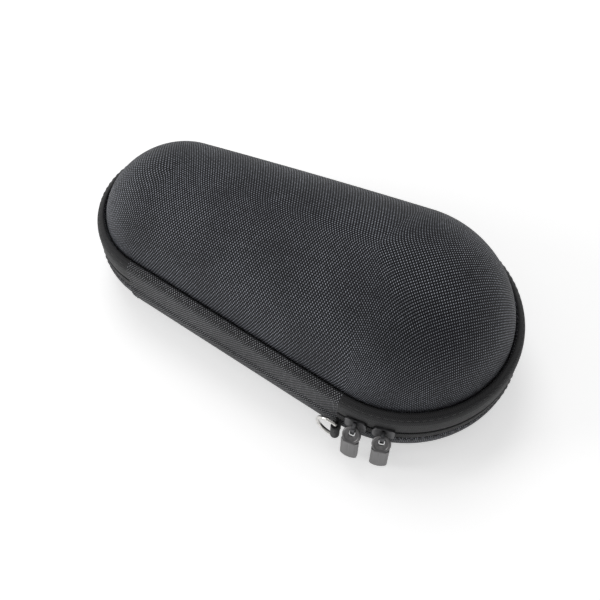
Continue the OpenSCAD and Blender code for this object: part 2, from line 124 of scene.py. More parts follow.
class Shader:
    """A Principled material in the making, with short names for its nodes."""

    def __init__(self, name, **values):
        self.material = bpy.data.materials.new(name)
        self.material.use_nodes = True
        self.tree = self.material.node_tree
        self.bsdf = next(n for n in self.tree.nodes if n.type == "BSDF_PRINCIPLED")
        for key, value in values.items():
            self.bsdf.inputs[key.replace("_", " ")].default_value = value

    def node(self, kind, **props):
        n = self.tree.nodes.new(kind)
        for key, value in props.items():
            setattr(n, key, value)
        return n

    def put(self, socket, value):
        if isinstance(value, bpy.types.NodeSocket):
            self.tree.links.new(value, socket)
        else:
            socket.default_value = value

    def math(self, operation, *values, clamp=False):
        n = self.node("ShaderNodeMath", operation=operation, use_clamp=clamp)
        for socket, value in zip(n.inputs, values):
            self.put(socket, value)
        return n.outputs[0]

    def uv(self, name="weave"):
        split = self.node("ShaderNodeSeparateXYZ")
        self.put(split.inputs[0], self.node("ShaderNodeUVMap", uv_map=name).outputs[0])
        return split.outputs[0], split.outputs[1]

    def place(self):
        """The place on the object in millimetres, which moves with the piece."""
        scale = self.node("ShaderNodeVectorMath", operation="SCALE")
        self.put(scale.inputs[0], self.node("ShaderNodeTexCoord").outputs["Object"])
        scale.inputs["Scale"].default_value = 1000.0
        return scale.outputs[0]

    def noise(self, vector, scale, detail=2.0):
        n = self.node("ShaderNodeTexNoise")
        self.put(n.inputs["Vector"], vector)
        n.inputs["Scale"].default_value = scale
        n.inputs["Detail"].default_value = detail
        return n.outputs[0]

    def span(self, value, low, high, to_low=0.0, to_high=1.0):
        n = self.node("ShaderNodeMapRange", interpolation_type="SMOOTHSTEP")
        for socket, v in zip(n.inputs, (value, low, high, to_low, to_high)):
            self.put(socket, v)
        return n.outputs[0]

    def mix(self, factor, a, b):
        n = self.node("ShaderNodeMix", data_type="RGBA")
        self.put(n.inputs[0], factor)
        self.put(n.inputs[6], (*a, 1.0) if isinstance(a, tuple) else a)
        self.put(n.inputs[7], (*b, 1.0) if isinstance(b, tuple) else b)
        return n.outputs[2]

    def colour(self, value):
        self.put(self.bsdf.inputs["Base Color"], value)

    def rough(self, value):
        self.put(self.bsdf.inputs["Roughness"], value)

    def bump(self, height, distance, strength=1.0):
        n = self.node("ShaderNodeBump")
        n.inputs["Strength"].default_value = strength
        n.inputs["Distance"].default_value = distance * MM
        self.put(n.inputs["Height"], height)
        self.put(self.bsdf.inputs["Normal"], n.outputs[0])


def woven(name, wide, tall, light, dark, sheen):
    """Plain weave of stout two-ply threads, with painted highlights: the crowns of the threads along V are
    painted as pale dots, and the weft is painted lighter on its crowns than in the dark gaps.
    """
    s = Shader(name, Sheen_Weight=sheen, Sheen_Roughness=0.4, Specular_IOR_Level=0.3)
    u, v = s.uv()
    su = s.math("SINE", s.math("MULTIPLY", u, math.pi / wide))
    sv = s.math("SINE", s.math("MULTIPLY", v, math.pi / tall))
    cross = s.math("MULTIPLY", su, sv)
    warp = s.math("MULTIPLY", s.math("ADD", s.math("ABSOLUTE", su), cross), 0.5)
    weft = s.math("MULTIPLY", s.math("SUBTRACT", s.math("ABSOLUTE", sv), cross), 0.5)
    height = s.math("MAXIMUM", warp, weft)
    on_top = s.span(s.math("SUBTRACT", warp, weft), 0.0, 0.4)
    patch = s.noise(s.place(), 0.035, 3.0)
    thread = s.noise(s.place(), 0.9, 2.0)
    # Painted highlight: the crown of each warp thread that lies on top is painted pale, dimmed at random by
    # the thread and patch noise.
    warp_crown_highlight = s.math("MULTIPLY", on_top, s.span(warp, 0.5, 1.0))
    lit = s.math("MULTIPLY", warp_crown_highlight, s.span(thread, 0.25, 0.75, 0.5, 1.15))
    lit = s.math("MULTIPLY", lit, s.span(patch, 0.3, 0.7, 0.75, 1.2), clamp=True)
    # Painted highlight and painted shade: the weft is painted up to four times lighter on its crowns than in
    # the gaps between threads.
    low = s.mix(s.span(weft, 0.3, 0.9), dark, tuple(4.0 * c for c in dark))
    s.colour(s.mix(lit, low, light))
    s.rough(s.span(height, 0.2, 1.0, 0.75, 0.5))
    s.bump(height, 0.22, 0.8)
    return s.material


def herringbone(name, stripe, pitch, light, dark):
    """Narrow woven tape: slanting ribs that turn back at each stripe along the tape."""
    s = Shader(name, Sheen_Weight=0.12, Sheen_Roughness=0.45, Specular_IOR_Level=0.3)
    u, v = s.uv()
    zigzag = s.math("PINGPONG", v, stripe)
    rib = s.math("SINE", s.math("MULTIPLY", s.math("ADD", u, zigzag), 2 * math.pi / pitch))
    off_middle = s.math("ABSOLUTE", s.math("SUBTRACT", zigzag, stripe / 2))
    edge = s.span(off_middle, stripe * 0.36, stripe * 0.5, 1.0, 0.4)
    height = s.math("MULTIPLY", s.math("MULTIPLY_ADD", rib, 0.5, 0.5), edge)
    fuzz = s.noise(s.place(), 1.4, 3.0)
    s.colour(s.mix(s.math("MULTIPLY", height, s.span(fuzz, 0.2, 0.8, 0.4, 1.0)), dark, light))
    s.rough(s.span(fuzz, 0.3, 0.7, 0.6, 0.8))
    s.bump(height, 0.12, 0.8)
    return s.material


def knitted(name, light, dark):
    """Brushed knit: fine fuzz over a faint rib."""
    s = Shader(name, Sheen_Weight=0.3, Sheen_Roughness=0.5, Specular_IOR_Level=0.2)
    u, v = s.uv()
    rib = s.math("MULTIPLY", s.math("SINE", s.math("MULTIPLY", u, 2 * math.pi / KNIT_PITCH)),
                 s.math("SINE", s.math("MULTIPLY", v, 2 * math.pi / KNIT_PITCH)))
    fuzz = s.noise(s.place(), 2.2, 4.0)
    height = s.math("MULTIPLY_ADD", rib, 0.3, fuzz)
    s.colour(s.mix(s.span(height, 0.2, 0.85), dark, light))
    s.rough(s.span(fuzz, 0.3, 0.7, 0.75, 0.95))
    s.bump(height, 0.15, 0.6)
    return s.material


def foam(name, light, dark):
    """Closed cells seen on the cut edge."""
    s = Shader(name, Specular_IOR_Level=0.3)
    cells = s.node("ShaderNodeTexVoronoi")
    s.put(cells.inputs["Vector"], s.place())
    cells.inputs["Scale"].default_value = 2.2
    s.colour(s.mix(s.span(cells.outputs[0], 0.0, 0.6), dark, light))
    s.rough(s.span(cells.outputs[0], 0.0, 0.6, 0.9, 0.6))
    s.bump(cells.outputs[0], 0.12, 0.6)
    return s.material


def metal(name, light, dark, low, high, scratch):
    """Plated metal with faint cloudy wear and fine scratches."""
    s = Shader(name, Metallic=1.0)
    place = s.place()
    cloud = s.noise(place, 0.35, 3.0)
    lines = s.node("ShaderNodeMapping")
    s.put(lines.inputs["Vector"], place)
    lines.inputs["Scale"].default_value = (6.0, 6.0, 0.5)
    fine = s.noise(lines.outputs[0], 1.5, 4.0)
    s.colour(s.mix(s.span(cloud, 0.3, 0.7), dark, light))
    s.rough(s.math("ADD", s.span(cloud, 0.3, 0.7, low, high), s.math("MULTIPLY", fine, 0.1)))
    s.bump(fine, scratch, 0.4)
    return s.material


def nylon(name, light, dark):
    """Moulded or drawn nylon with a slightly uneven gloss."""
    s = Shader(name, Specular_IOR_Level=0.5)
    cloud = s.noise(s.place(), 0.8, 3.0)
    s.colour(s.mix(s.span(cloud, 0.3, 0.7), dark, light))
    s.rough(s.span(cloud, 0.3, 0.7, 0.35, 0.5))
    s.bump(cloud, 0.05, 0.5)
    return s.material


def ribbed(name, pitch, light, dark):
    """Woven webbing or elastic: ribs across the V direction with a fine cross thread."""
    s = Shader(name, Sheen_Weight=0.15, Sheen_Roughness=0.4, Specular_IOR_Level=0.3)
    u, v = s.uv()
    rib = s.math("ABSOLUTE", s.math("SINE", s.math("MULTIPLY", v, math.pi / pitch)))
    cross = s.math("ABSOLUTE", s.math("SINE", s.math("MULTIPLY", u, math.pi / CROSS_THREAD)))
    height = s.math("MULTIPLY_ADD", cross, 0.3, s.math("MULTIPLY", rib, 0.7))
    fuzz = s.noise(s.place(), 1.8, 3.0)
    s.colour(s.mix(s.math("MULTIPLY", height, s.span(fuzz, 0.2, 0.8, 0.5, 1.0)), dark, light))
    s.rough(s.span(fuzz, 0.3, 0.7, 0.55, 0.75))
    s.bump(height, 0.2, 0.9)
    return s.material


# The light colours of the cover and the band are the colours of the painted highlights on the thread crowns.
COVER = woven("woven_cover", 0.62, 0.98, (0.5, 0.525, 0.6), (0.0015, 0.0017, 0.0028), 0.06)
BAND = woven("woven_band", 0.62, 0.9, (0.5, 0.51, 0.545), (0.0022, 0.0023, 0.003), 0.08)
TAPE = herringbone("zip_tape", 1.8, 0.95, (0.055, 0.055, 0.058), (0.0015, 0.0015, 0.002))
# The same tape as zip_tape, painted lighter all over: painted reflection of the pale floor on the tape below
# the zip.
TAPE_PAINTED_FLOOR_SHEEN = herringbone("lower_tape_painted_sheen", 1.8, 0.95, (0.07, 0.07, 0.073), (0.006, 0.006, 0.0065))
LINING = knitted("lining", (0.06, 0.06, 0.064), (0.02, 0.02, 0.022))
FOAM = foam("foam_core", (0.05, 0.05, 0.052), (0.02, 0.02, 0.021))
COIL = nylon("zip_coil", (0.02, 0.02, 0.021), (0.009, 0.009, 0.01))
THREAD = nylon("thread", (0.05, 0.05, 0.052), (0.025, 0.025, 0.026))
SLIDER = metal("slider_metal", (0.13, 0.13, 0.135), (0.06, 0.06, 0.063), 0.25, 0.38, 0.03)
PULL = metal("pull_metal", (0.2, 0.196, 0.198), (0.155, 0.152, 0.154), 0.34, 0.44, 0.02)
STEEL = metal("ring_steel", (0.75, 0.74, 0.72), (0.6, 0.59, 0.57), 0.1, 0.2, 0.01)
WEBBING = ribbed("webbing", 0.9, (0.05, 0.05, 0.052), (0.008, 0.008, 0.009))
ELASTIC = ribbed("elastic", 1.2, (0.045, 0.045, 0.047), (0.01, 0.01, 0.011))
NET = nylon("mesh", (0.035, 0.035, 0.037), (0.02, 0.02, 0.021))


# Mesh helpers
def make_piece(name, rows, faces, material, uvs=None, sharp=45.0):
    """A mesh piece from points in millimetres, with an unrolled map in millimetres for its weave."""
    mesh = bpy.data.meshes.new(name)
    mesh.from_pydata([Vector(p) * MM for p in rows], [], faces)
    if uvs is not None:
        layer = mesh.uv_layers.new(name="weave")
        for loop in mesh.loops:
            layer.data[loop.index].uv = uvs[loop.vertex_index]
    mesh.polygons.foreach_set("use_smooth", [True] * len(mesh.polygons))
    mesh.set_sharp_from_angle(angle=math.radians(sharp))
    mesh.materials.append(material)
    piece = bpy.data.objects.new(name, mesh)
    bpy.context.scene.collection.objects.link(piece)
    return piece


def ring_places():
    """[share of the way to the narrow end, direction in plan] of each place round the case."""
    places = [(0.0, -math.pi / 2 - TAPER + HEAD_ARC * k / HEAD_N) for k in range(HEAD_N + 1)]
    places += [(k / SIDE_N, math.pi / 2 + TAPER) for k in range(1, SIDE_N)]
    places += [(1.0, math.pi / 2 + TAPER + TAIL_ARC * k / TAIL_N) for k in range(TAIL_N + 1)]
    places += [(1 - k / SIDE_N, -math.pi / 2 - TAPER) for k in range(1, SIDE_N)]
    return places


RING = ring_places()


def ring_point(j, r1, r2, x1, x2, z):
    share, turn = RING[j % RING_N]
    r = r1 + (r2 - r1) * share
    return (x1 + (x2 - x1) * share + r * math.cos(turn), r * math.sin(turn), z)


def at_zip(j, inset, height):
    return ring_point(j, HEAD_R - inset, TAIL_R - inset, HEAD_X, TAIL_X, ZIP_Z + height)


def run_lengths():
    runs, total = [0.0], 0.0
    for j in range(RING_N):
        a, b = at_zip(j, 0, 0), at_zip(j + 1, 0, 0)
        total += math.dist(a, b)
        runs.append(total)
    return runs


RUN = run_lengths()


def ridge(x):
    s = x / CASE_LEN + 0.5
    return RIDGE_TAIL + (RIDGE_HEAD - RIDGE_TAIL) * s + RIDGE_BULGE * 4 * s * (1 - s)


def rim_rows(depth):
    points = [
        (TAPE_T + depth, EDGE_GAP),
        (TAPE_T + depth, RIM_STRAIGHT - 0.1 - 0.3 * depth),
        (RIM_ROLL_IN * 0.48 + 0.95 * depth, RIM_HEIGHT - 2.3 - 0.75 * depth),
        (RIM_ROLL_IN + 0.2 + 0.5 * depth, RIM_HEIGHT - 0.8 - 0.75 * depth)]
    return [[at_zip(j, *p) for j in range(RING_N)] for p in points]


def dome_row(depth, a):
    f = math.cos(a) ** (2 / SIDE_FULLNESS)
    h = math.sin(a) ** (2 / TOP_FULLNESS)
    low = GROOVE_HEIGHT - 0.15 * depth
    row = []
    for j in range(RING_N):
        x, y, _ = ring_point(j, (HEAD_R - GROOVE_IN - depth) * f, (TAIL_R - GROOVE_IN - depth) * f,
                             HEAD_X - HEAD_SETBACK * (1 - f), TAIL_X, 0)
        row.append((x, y, ZIP_Z + low + (ridge(x) - depth - low) * h))
    return row


DOME_N = 48
CROWN = math.radians(88.5)


def lid_rows(depth):
    return rim_rows(depth) + [dome_row(depth, CROWN * k / DOME_N) for k in range(DOME_N + 1)]


def tray_rows(depth, edge):
    rows = [[at_zip(j, depth, edge) for j in range(RING_N)]]
    turns = 20
    for k in range(turns + 1):
        a = math.pi / 2 * k / turns
        inset = BASE_TURN_IN - (BASE_TURN_IN - depth) * math.cos(a)
        height = BASE_TURN_HEIGHT - (BASE_TURN_HEIGHT - depth) * math.sin(a) - ZIP_Z
        rows.append([at_zip(j, inset, height) for j in range(RING_N)])
    return rows


def cap(first):
    """Faces across a ring, from one long side to the other."""
    faces = []
    for j in range(RING_N // 2):
        a, b = HEAD_N // 2 + j, HEAD_N // 2 - j
        quad = [a % RING_N, b % RING_N, (b - 1) % RING_N, (a + 1) % RING_N]
        faces.append([first + v for v in dict.fromkeys(quad)])
    return [f for f in faces if len(f) > 2]


def unroll(rows):
    """Map of a shell in millimetres, laid out flat from its middle line outwards."""
    uvs = [None] * (len(rows) * RING_N)
    for j in range(RING_N):
        share, turn = RING[j]
        middle = HEAD_X - HEAD_SETBACK + (TAIL_X - HEAD_X + HEAD_SETBACK) * share
        ease = 1 - 0.25 * abs(math.cos(turn)) ** 1.5
        x, y, _ = rows[-1][j]
        run = math.hypot(x - middle, y)
        for k in range(len(rows) - 1, -1, -1):
            if k < len(rows) - 1:
                run += math.dist(rows[k][j], rows[k + 1][j])
            uvs[k * RING_N + j] = (middle + run * ease * math.cos(turn), run * ease * math.sin(turn))
    return uvs


def turn_faces_out(piece):
    """Makes the faces of a closed piece look outwards."""
    work = bmesh.new()
    work.from_mesh(piece.data)
    bmesh.ops.recalc_face_normals(work, faces=work.faces)
    work.to_mesh(piece.data)
    work.free()


def make_shell(name, outer, inner, material, body, node):
    """One layer of a moulded shell between its outer and its inner surface."""
    rows = list(reversed(inner)) + outer
    n, faces = RING_N, []
    for k in range(len(rows) - 1):
        for j in range(n):
            a, b = k * n + j, k * n + (j + 1) % n
            faces.append((a, b, b + n, a + n))
    faces += [tuple(reversed(f)) for f in cap((len(rows) - 1) * n)] + [tuple(f) for f in cap(0)]
    inner_map = unroll(inner)
    flipped = [inner_map[(len(inner) - 1 - k) * n + j] for k in range(len(inner)) for j in range(n)]
    points = [p for row in rows for p in row]
    piece = make_piece(name, points, faces, material, flipped + unroll(outer))
    turn_faces_out(piece)
    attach(piece, body)
    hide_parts(node)
    return piece


def rounded(points, radius, steps):
    """A closed section with its corners cut round."""
    out, n = [], len(points)
    for i, p in enumerate(points):
        a, b = points[i - 1], points[(i + 1) % n]
        la, lb = math.dist(a, p), math.dist(p, b)
        ca, cb = min(radius, la * 0.45) / la, min(radius, lb * 0.45) / lb
        start = [p[k] + (a[k] - p[k]) * ca for k in (0, 1)]
        end = [p[k] + (b[k] - p[k]) * cb for k in (0, 1)]
        for s in range(steps + 1):
            t = s / steps
            out.append(tuple((1 - t) ** 2 * start[k] + 2 * t * (1 - t) * p[k] + t * t * end[k]
                             for k in (0, 1)))
    return out


def make_strip(name, section, places, material):
    """A closed strip with a given section that follows the zip through the given ring places."""
    m = len(section)
    across = [0.0]
    for i in range(m):
        across.append(across[-1] + math.dist(section[i], section[(i + 1) % m]))
    rows, uvs, faces = [], [], []
    for j in places:
        for i, p in enumerate(section):
            rows.append(at_zip(j, *p))
            uvs.append((RUN[j], across[i]))
    for k in range(len(places) - 1):
        for i in range(m):
            a, b = k * m + i, k * m + (i + 1) % m
            faces.append((a, b, b + m, a + m))
    faces.append(tuple(reversed(range(m))))
    last = (len(places) - 1) * m
    faces.append(tuple(last + i for i in range(m)))
    piece = make_piece(name, rows, faces, material, uvs, sharp=60.0)
    turn_faces_out(piece)
    return piece


def tube_faces(rows, faces, path, radius, sides, taper=False):
    """Adds a round thread along a path of points to rows and faces; a tapered one is thin at both ends."""
    first, n = len(rows), len(path)
    frame_up = None
    for k, p in enumerate(path):
        ahead = (Vector(path[min(k + 1, n - 1)]) - Vector(path[max(k - 1, 0)])).normalized()
        if frame_up is None:
            frame_up = ahead.orthogonal().normalized()
        frame_up = (frame_up - ahead * frame_up.dot(ahead)).normalized()
        side = ahead.cross(frame_up)
        r = radius * (0.45 if taper and k in (0, n - 1) else 1.0)
        for s in range(sides):
            a = 2 * math.pi * s / sides
            rows.append(tuple(Vector(p) + r * (math.cos(a) * frame_up + math.sin(a) * side)))
    for k in range(n - 1):
        for s in range(sides):
            a, b = first + k * sides + s, first + k * sides + (s + 1) % sides
            faces.append((a, b, b + sides, a + sides))
    faces.append(tuple(first + s for s in reversed(range(sides))))
    faces.append(tuple(first + (n - 1) * sides + s for s in range(sides)))


# Shells of the lid and the tray
make_shell("lid_cover", lid_rows(0), lid_rows(FABRIC_T), COVER, "lid", "upper_fabric")
make_shell("lid_foam", lid_rows(FABRIC_T), lid_rows(CORE_T), FOAM, "lid", "upper_foam")
make_shell("lid_lining", lid_rows(CORE_T), lid_rows(SHELL_T), LINING, "lid", "upper_lining")
make_shell("tray_cover", tray_rows(0, -LAP_DEPTH), tray_rows(FABRIC_T, -LAP_DEPTH), COVER,
           "base", "lower_fabric")
make_shell("tray_foam", tray_rows(FABRIC_T + 0.02, -LAP_DEPTH - TAPE_TUCK), tray_rows(CORE_T, -EDGE_GAP),
           FOAM, "base", "lower_foam")
make_shell("tray_lining", tray_rows(CORE_T, -EDGE_GAP), tray_rows(SHELL_T, -EDGE_GAP), LINING,
           "base", "lower_lining")


def fold(piece):
    """Bakes the piece's placing into its points; the piece is not bent."""
    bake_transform(piece)


# The lid's tape by ring places: the stretch held by the parked sliders, the stretch on to the lid's own tape,
# and the tail end, each left unbent as it lies in the closed case
HELD_TO, TURN_TO = 14, 25
TAIL_FROM = ZIP_END - 18
HELD_DEPTH = HEAD_R * (1 - math.cos(HEAD_ARC * HELD_TO / HEAD_N))

ROLL_CURVE = ((0, 0), (0.03, 0.18), (0.1, 0.36), (0.19, 0.52), (0.32, 0.66), (0.46, 0.78), (0.63, 0.88),
              (0.8, 0.955), (1, 1))
ROLL = [(RIM_ROLL_IN * a, RIM_STRAIGHT + (RIM_HEIGHT - RIM_STRAIGHT) * b) for a, b in ROLL_CURVE]
COVER_SIDE = [(RIM_ROLL_IN + 0.2, RIM_HEIGHT - 0.8), (RIM_ROLL_IN * 0.48, RIM_HEIGHT - 2.3),
              (TAPE_T, RIM_STRAIGHT - 0.1)]
RIM_SECTION = rounded([(TAPE_T, TAPE_SLOT), (0, TAPE_SLOT)] + ROLL + COVER_SIDE, 0.3, 2)
LOWER_SECTION = rounded([
    (0, -TAPE_SLOT), (TAPE_T, -TAPE_SLOT), (TAPE_T, -LAP_DEPTH + TAPE_T * 1.41),
    (2 * TAPE_T, -LAP_DEPTH + TAPE_T * 0.41), (2 * TAPE_T, -LAP_DEPTH - TAPE_TUCK),
    (TAPE_T, -LAP_DEPTH - TAPE_TUCK), (TAPE_T, -LAP_DEPTH), (0, -LAP_DEPTH + TAPE_T)], 0.25, 2)


def tray_wall(height, out):
    """A point of the tray's outer face, a given distance off it, by its height over the zip line."""
    fall = max(0.0, BASE_TURN_HEIGHT - ZIP_Z - height) / BASE_TURN_HEIGHT
    turn = math.asin(fall)
    return (BASE_TURN_IN * (1 - math.cos(turn)) - out * math.cos(turn), height - out * math.sin(turn))


# Heights of the band's section points: along the tray's turn, where it leaves the lap, and up to the rim
BAND_FALL, BAND_STEP, BAND_RISE = (-9.5, -11.0, -12.5, -14.0, -15.5), -7.5, (-2, 0, 2, 4, 6)
BAND_SECTION = rounded(
    [tray_wall(h, 0) for h in BAND_FALL] + [tray_wall(h, FABRIC_T) for h in reversed(BAND_FALL)]
    + [(-FABRIC_T, BAND_STEP), (-FABRIC_T, -LAP_DEPTH - 0.5), (0, -LAP_DEPTH + 1.5)]
    + [(0, h) for h in BAND_RISE] + ROLL + COVER_SIDE + [(TAPE_T, h) for h in reversed(BAND_RISE)]
    + [(TAPE_T, -LAP_DEPTH + 0.8), (0, -LAP_DEPTH), (0, BAND_STEP)], 0.3, 2)

tape = make_strip("rim_tape", RIM_SECTION, range(TURN_TO, TAIL_FROM + 1), TAPE)
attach(tape, "lid")
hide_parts("upper_zip_tape")
held = make_strip("rim_tape_held", RIM_SECTION, range(0, HELD_TO + 1), TAPE)
fold(held)
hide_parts("upper_tape_end")
turned = make_strip("rim_tape_turned", RIM_SECTION, range(HELD_TO, TURN_TO + 1), TAPE)
fold(turned)
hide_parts("upper_tape_end")
tail = make_strip("rim_tape_tail", RIM_SECTION, range(TAIL_FROM, ZIP_END + 1), TAPE)
fold(tail)
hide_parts("upper_zip_tape")
# The tray's tape takes the copy of the tape that is painted lighter with the floor's reflection.
lower = make_strip("tray_tape", LOWER_SECTION, range(0, ZIP_END + 1), TAPE_PAINTED_FLOOR_SHEEN)
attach(lower, "base")
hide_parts("lower_zip_tape")

SIDE_PLACES = range(ZIP_END, RING_N + 1)
band = make_strip("hinge_cover", BAND_SECTION, SIDE_PLACES, BAND)
fold(band)
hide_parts("hinge_band")
HALF = EDGE_GAP - 1
INNER_SECTION = rounded([(TAPE_T, -HALF), (TAPE_T, HALF)]
                        + [(TAPE_T + HINGE_LINING_T, h) for h in (HALF, 2, 0, -2, -HALF)], 0.15, 2)
inner_band = make_strip("hinge_inner", INNER_SECTION, SIDE_PLACES, LINING)
fold(inner_band)
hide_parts("hinge_lining")

# Zip coil
COIL_HEAD_R, COIL_TAIL_R = HEAD_R - LOOP_IN, TAIL_R - LOOP_IN
HEAD_RUN, TAIL_RUN = COIL_HEAD_R * HEAD_ARC, COIL_TAIL_R * TAIL_ARC
ZIP_RUN = HEAD_RUN + SIDE_LEN + TAIL_RUN
LOOP_COUNT = math.floor((ZIP_RUN - 2 * COIL_START) / LOOP_PITCH)


def coil_point(s, inset, height):
    """A point by its distance along the coil, inset from the coil's line and height over the zip line."""
    if s < HEAD_RUN:
        turn = -math.pi / 2 - TAPER + s / COIL_HEAD_R
        r, x, along = COIL_HEAD_R - inset, HEAD_X, 0.0
    elif s < HEAD_RUN + SIDE_LEN:
        turn = math.pi / 2 + TAPER
        r, x, along = COIL_HEAD_R - inset, HEAD_X, s - HEAD_RUN
    else:
        turn = math.pi / 2 + TAPER + (s - HEAD_RUN - SIDE_LEN) / COIL_TAIL_R
        r, x, along = COIL_TAIL_R - inset, TAIL_X, 0.0
    return (x + r * math.cos(turn) - along * math.sin(turn), r * math.sin(turn) + along * math.cos(turn),
            ZIP_Z + height)


def make_coil(name, side, shift, first, last):
    """A run of wound loops of one row; each crosses the zip line, apart from those between the posts."""
    path = []
    for k in range(first, last):
        s = COIL_START + (k + shift) * LOOP_PITCH
        tip = PARTED_TIP if PARTED_FROM < s < PARTED_TO else -LOOP_CROSS
        leg = ((0.62, 0.2, LOOP_REACH - 0.2), (0.36, 0.22, LOOP_REACH - 0.7), (0.26, 0.22, 1.4),
               (0.3, 0.2, tip + 0.5), (0.26, 0.12, tip + 0.2))
        path += [coil_point(s - ds, -inset, side * height) for ds, inset, height in leg]
        path.append(coil_point(s, 0.0, side * (tip + 0.06)))
        path += [coil_point(s + ds, inset, side * height) for ds, inset, height in reversed(leg)]
        path.append(coil_point(s + LOOP_PITCH / 2, 0.0, side * LOOP_REACH))
    rows, faces = [], []
    tube_faces(rows, faces, path[:-1], FILAMENT_R, 6)
    return make_piece(name, rows, faces, COIL)


TURN_LOOPS = math.floor((RUN[TURN_TO] * COIL_HEAD_R / HEAD_R - COIL_START) / LOOP_PITCH)
TAIL_LOOPS = LOOP_COUNT - math.floor((RUN[ZIP_END] - RUN[TAIL_FROM]) / LOOP_PITCH)
lower_coil = make_coil("tray_coil", -1, 0.5, 0, LOOP_COUNT)
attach(lower_coil, "base")
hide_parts("lower_zip_coil")
for part_name, first, last, depth in (("lid_coil_turned", 0, TURN_LOOPS, HELD_DEPTH),
                                      ("lid_coil_tail", TAIL_LOOPS, LOOP_COUNT, 0.0)):
    part = make_coil(part_name, 1, 0, first, last)
    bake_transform(part)
    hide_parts("upper_zip_coil")
upper_coil = make_coil("lid_coil", 1, 0, TURN_LOOPS, TAIL_LOOPS)
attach(upper_coil, "lid")
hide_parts("upper_zip_coil")


# Stitches
STITCH_LEN, STITCH_GAP, STITCH_R = 2.4, 0.9, 0.2
END_STITCH_LEN, END_STITCH_PITCH = 2.2, 3.0


def make_stitches(name, inset, height, places):
    """A line of lockstitches along the zip direction, each a short thread sunk at both ends."""
    rows, faces = [], []
    start, end = RUN[places[0]], RUN[places[-1]]
    s = start + STITCH_GAP
    while s + STITCH_LEN < end - STITCH_GAP:
        path = []
        for t, lift in ((0, -0.12), (0.2, 0.04), (0.5, 0.08), (0.8, 0.04), (1, -0.12)):
            run = s + STITCH_LEN * t
            j = next(i for i in places if RUN[i + 1] >= run)
            share = (run - RUN[j]) / (RUN[j + 1] - RUN[j])
            a, b = at_zip(j, inset - lift, height), at_zip(j + 1, inset - lift, height)
            path.append(tuple(a[k] + (b[k] - a[k]) * share for k in range(3)))
        tube_faces(rows, faces, path, STITCH_R, 5, taper=True)
        s += STITCH_LEN + STITCH_GAP
    return make_piece(name, rows, faces, THREAD)


UPPER_PLACES = range(0, ZIP_END + 1)
rim_stitches = make_stitches("rim_stitches", 1.05, 11.0, UPPER_PLACES)
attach(rim_stitches, "lid")
lower_stitches = make_stitches("tray_stitches", -0.02, -6.9, UPPER_PLACES)
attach(lower_stitches, "base")
band_stitches = make_stitches("band_stitches", 1.05, 11.0, SIDE_PLACES)
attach(band_stitches, "lid")


def make_end_stitches(name, j0, j1, share):
    """Stitches up and down the end of the hinge band."""
    rows, faces = [], []
    outline = [tray_wall(h, FABRIC_T) for h in reversed(BAND_FALL)]
    outline += [(-FABRIC_T, BAND_STEP), (-FABRIC_T, -LAP_DEPTH - 0.5), (0, -LAP_DEPTH + 1.5)]
    outline += [(0, 8.0), (0.38, 9.8), (1.2, 11.3)]
    lengths = [math.dist(outline[i], outline[i + 1]) for i in range(len(outline) - 1)]

    def on_outline(s, lift):
        for i, d in enumerate(lengths):
            if s <= d or i == len(lengths) - 1:
                t = s / d
                p = [outline[i][k] + (outline[i + 1][k] - outline[i][k]) * t for k in (0, 1)]
                break
            s -= d
        a, b = at_zip(j0, p[0] - lift, p[1]), at_zip(j1, p[0] - lift, p[1])
        return tuple(a[k] + (b[k] - a[k]) * share for k in range(3))

    s = 0.3
    while s + END_STITCH_LEN < sum(lengths):
        path = [on_outline(s + END_STITCH_LEN * t, lift)
                for t, lift in ((0, -0.1), (0.2, 0.05), (0.5, 0.1), (0.8, 0.05), (1, -0.1))]
        tube_faces(rows, faces, path, STITCH_R, 5, taper=True)
        s += END_STITCH_PITCH
    piece = make_piece(name, rows, faces, THREAD)
    fold(piece)


make_end_stitches("band_end_stitches_head", RING_N, RING_N - 1, 0.55)
make_end_stitches("band_end_stitches_tail", ZIP_END, ZIP_END + 1, 0.55)


# Sliders and pulls
BODY_BEVEL, PULL_BEVEL = 0.3, 0.25


def dress(node, name, material, body, width):
    """A copy of a solid's surface with its edges rounded, which stands for it."""
    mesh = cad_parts[node].data.copy()
    mesh.name = name
    mesh.materials.clear()
    work = bmesh.new()
    work.from_mesh(mesh)
    bmesh.ops.remove_doubles(work, verts=work.verts, dist=1e-6)
    bmesh.ops.dissolve_limit(work, angle_limit=math.radians(2), verts=work.verts, edges=work.edges)
    work.to_mesh(mesh)
    work.free()
    mesh.materials.append(material)
    piece = bpy.data.objects.new(name, mesh)
    bpy.context.scene.collection.objects.link(piece)
    bevel = piece.modifiers.new("edges", "BEVEL")
    bevel.width, bevel.segments, bevel.limit_method = width * MM, 3, "ANGLE"
    bevel.angle_limit = math.radians(40)
    mesh.polygons.foreach_set("use_smooth", [True] * len(mesh.polygons))
    mesh.set_sharp_from_angle(angle=math.radians(50))
    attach(piece, body)
    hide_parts(node)
    return piece


for which in ("end", "lead"):
    slider = which + "_slider"
    dress(slider + "_body", slider + "_plates", SLIDER, slider, BODY_BEVEL)
    dress(slider + "_bridge", slider + "_arch", SLIDER, slider, BODY_BEVEL)
    dress(which + "_pull", which + "_pull_tab", PULL, which + "_pull", PULL_BEVEL)


def on_head(angle, out, tangent, height):
    """A point near the wide end, by its angle from the hinge's end, off the outline and along it."""
    turn = math.radians(angle - 90) - TAPER
    r = HEAD_R + out
    return (HEAD_X + r * math.cos(turn) - tangent * math.sin(turn),
            r * math.sin(turn) + tangent * math.cos(turn), ZIP_Z + height)


def web_slot(way, start, end, half_w, corner):
    """A point (along, across) of one half of a slot's edge, a given way from its open end."""
    straight, bend = end - corner - start, math.pi / 2 * corner
    if way < straight:
        return start + way, half_w
    if way < straight + bend:
        turn = (way - straight) / corner
        return end - corner + corner * math.sin(turn), half_w - corner + corner * math.cos(turn)
    return end, straight + bend + half_w - corner - way


